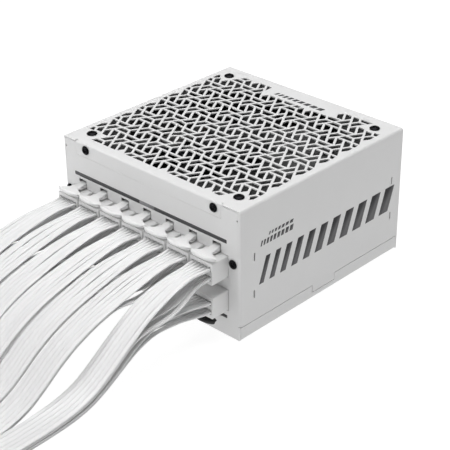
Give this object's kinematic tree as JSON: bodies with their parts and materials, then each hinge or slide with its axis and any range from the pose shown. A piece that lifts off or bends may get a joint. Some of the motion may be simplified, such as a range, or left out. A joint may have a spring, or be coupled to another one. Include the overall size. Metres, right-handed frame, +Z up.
{
  "type": "modular computer power supply unit",
  "caption": "White steel box with a perforated fan guard on top, a socket panel with plugs in front and flat cables folded into a tied hank.",
  "frame": {"origin": "under the middle of the box, on the surface it stands on; the cables and their plugs are not counted", "axes": "+Z up through the fan guard, -Y out of the socket panel, +X to the right when facing the panel"},
  "size_m": [0.15, 0.506, 0.0875],
  "materials": {
    "white_powder_coat": "fine-textured powder coat",
    "black_screw": "black oxide",
    "black_plastic": "moulded",
    "white_nylon": "moulded nylon",
    "white_wire": "PVC insulation",
    "black_strap": "hook-and-loop strap",
    "circuit_board": "solder mask",
    "insulation_film": "clear film",
    "aluminium": "extruded",
    "ferrite": "ferrite core",
    "capacitor_sleeve": "shrink sleeve",
    "copper_winding": "enamelled wire"
  },
  "bodies": {
    "housing": {"base_tray": "white_powder_coat", "top_cover": "white_powder_coat", "fan_screw_1": "black_screw", "fan_screw_2": "black_screw", "fan_screw_3": "black_screw", "fan_screw_4": "black_screw", "cover_screw_1": "black_screw", "cover_screw_2": "black_screw", "cover_screw_3": "black_screw", "cover_screw_4": "black_screw", "fan_frame": "black_plastic", "fan_motor": "copper_winding", "main_board": "circuit_board", "socket_board": "circuit_board", "insulation_sheet": "insulation_film", "primary_heatsink": "aluminium", "secondary_heatsink": "aluminium", "transformer": "ferrite", "bulk_capacitor": "capacitor_sleeve", "filter_choke": "copper_winding", "upper_sockets": "white_nylon", "lower_sockets": "white_nylon", "ac_inlet": "black_plastic", "rocker_bezel": "black_plastic", "plug_upper_1": "white_nylon", "plug_upper_2": "white_nylon", "plug_upper_3": "white_nylon", "plug_upper_4": "white_nylon", "plug_upper_5": "white_nylon", "plug_upper_6": "white_nylon", "plug_upper_7": "white_nylon", "plug_lower_2": "white_nylon", "plug_lower_4": "white_nylon", "plug_lower_7": "white_nylon", "cable_upper_1": "white_wire", "cable_upper_2": "white_wire", "cable_upper_3": "white_wire", "cable_upper_4": "white_wire", "cable_upper_5": "white_wire", "cable_upper_6": "white_wire", "cable_upper_7": "white_wire", "cable_lower_2": "white_wire", "cable_lower_4": "white_wire", "cable_lower_7": "white_wire", "cable_hank": "white_wire", "cable_tie": "black_strap", "far_connectors": "white_nylon"},
    "fan": {"fan_rotor": "black_plastic"},
    "power_switch": {"rocker": "black_plastic"},
    "lever_upper_1": {"latch_upper_1": "white_nylon"},
    "lever_upper_2": {"latch_upper_2": "white_nylon"},
    "lever_upper_3": {"latch_upper_3": "white_nylon"},
    "lever_upper_4": {"latch_upper_4": "white_nylon"},
    "lever_upper_5": {"latch_upper_5": "white_nylon"},
    "lever_upper_6": {"latch_upper_6": "white_nylon"},
    "lever_upper_7": {"latch_upper_7": "white_nylon"},
    "lever_lower_2": {"latch_lower_2": "black_plastic"},
    "lever_lower_4": {"latch_lower_4": "black_plastic"},
    "lever_lower_7": {"latch_lower_7": "black_plastic"}
  },
  "joints": [
    {"name": "fan_spin", "type": "hinge", "parent": "housing", "child": "fan", "pos_m": [0, -0.001, 0.0724], "axis": [0, 0, 1], "continuous": true},
    {"name": "switch_rock", "type": "hinge", "parent": "housing", "child": "power_switch", "pos_m": [-0.05, 0.0735, 0.0205], "axis": [0, 0, 1], "range_deg": [-22, 0]},
    {"name": "latch_press_upper_1", "type": "hinge", "parent": "housing", "child": "lever_upper_1", "pos_m": [-0.0586, -0.0804, 0.0558], "axis": [1, 0, 0], "range_deg": [0, 8], "stiffness_Nm_per_rad": 0.15},
    {"name": "latch_press_upper_2", "type": "hinge", "parent": "housing", "child": "lever_upper_2", "pos_m": [-0.0394, -0.0804, 0.0558], "axis": [1, 0, 0], "range_deg": [0, 8], "stiffness_Nm_per_rad": 0.15},
    {"name": "latch_press_upper_3", "type": "hinge", "parent": "housing", "child": "lever_upper_3", "pos_m": [-0.0202, -0.0804, 0.0558], "axis": [1, 0, 0], "range_deg": [0, 8], "stiffness_Nm_per_rad": 0.15},
    {"name": "latch_press_upper_4", "type": "hinge", "parent": "housing", "child": "lever_upper_4", "pos_m": [-0.001, -0.0804, 0.0558], "axis": [1, 0, 0], "range_deg": [0, 8], "stiffness_Nm_per_rad": 0.15},
    {"name": "latch_press_upper_5", "type": "hinge", "parent": "housing", "child": "lever_upper_5", "pos_m": [0.0182, -0.0804, 0.0558], "axis": [1, 0, 0], "range_deg": [0, 8], "stiffness_Nm_per_rad": 0.15},
    {"name": "latch_press_upper_6", "type": "hinge", "parent": "housing", "child": "lever_upper_6", "pos_m": [0.0374, -0.0804, 0.0558], "axis": [1, 0, 0], "range_deg": [0, 8], "stiffness_Nm_per_rad": 0.15},
    {"name": "latch_press_upper_7", "type": "hinge", "parent": "housing", "child": "lever_upper_7", "pos_m": [0.0566, -0.0804, 0.0558], "axis": [1, 0, 0], "range_deg": [0, 8], "stiffness_Nm_per_rad": 0.15},
    {"name": "latch_press_lower_2", "type": "hinge", "parent": "housing", "child": "lever_lower_2", "pos_m": [-0.0394, -0.0804, 0.0159], "axis": [-1, 0, 0], "range_deg": [0, 8], "stiffness_Nm_per_rad": 0.15},
    {"name": "latch_press_lower_4", "type": "hinge", "parent": "housing", "child": "lever_lower_4", "pos_m": [-0.001, -0.0804, 0.0159], "axis": [-1, 0, 0], "range_deg": [0, 8], "stiffness_Nm_per_rad": 0.15},
    {"name": "latch_press_lower_7", "type": "hinge", "parent": "housing", "child": "lever_lower_7", "pos_m": [0.0566, -0.0804, 0.0159], "axis": [-1, 0, 0], "range_deg": [0, 8], "stiffness_Nm_per_rad": 0.15}
  ]
}
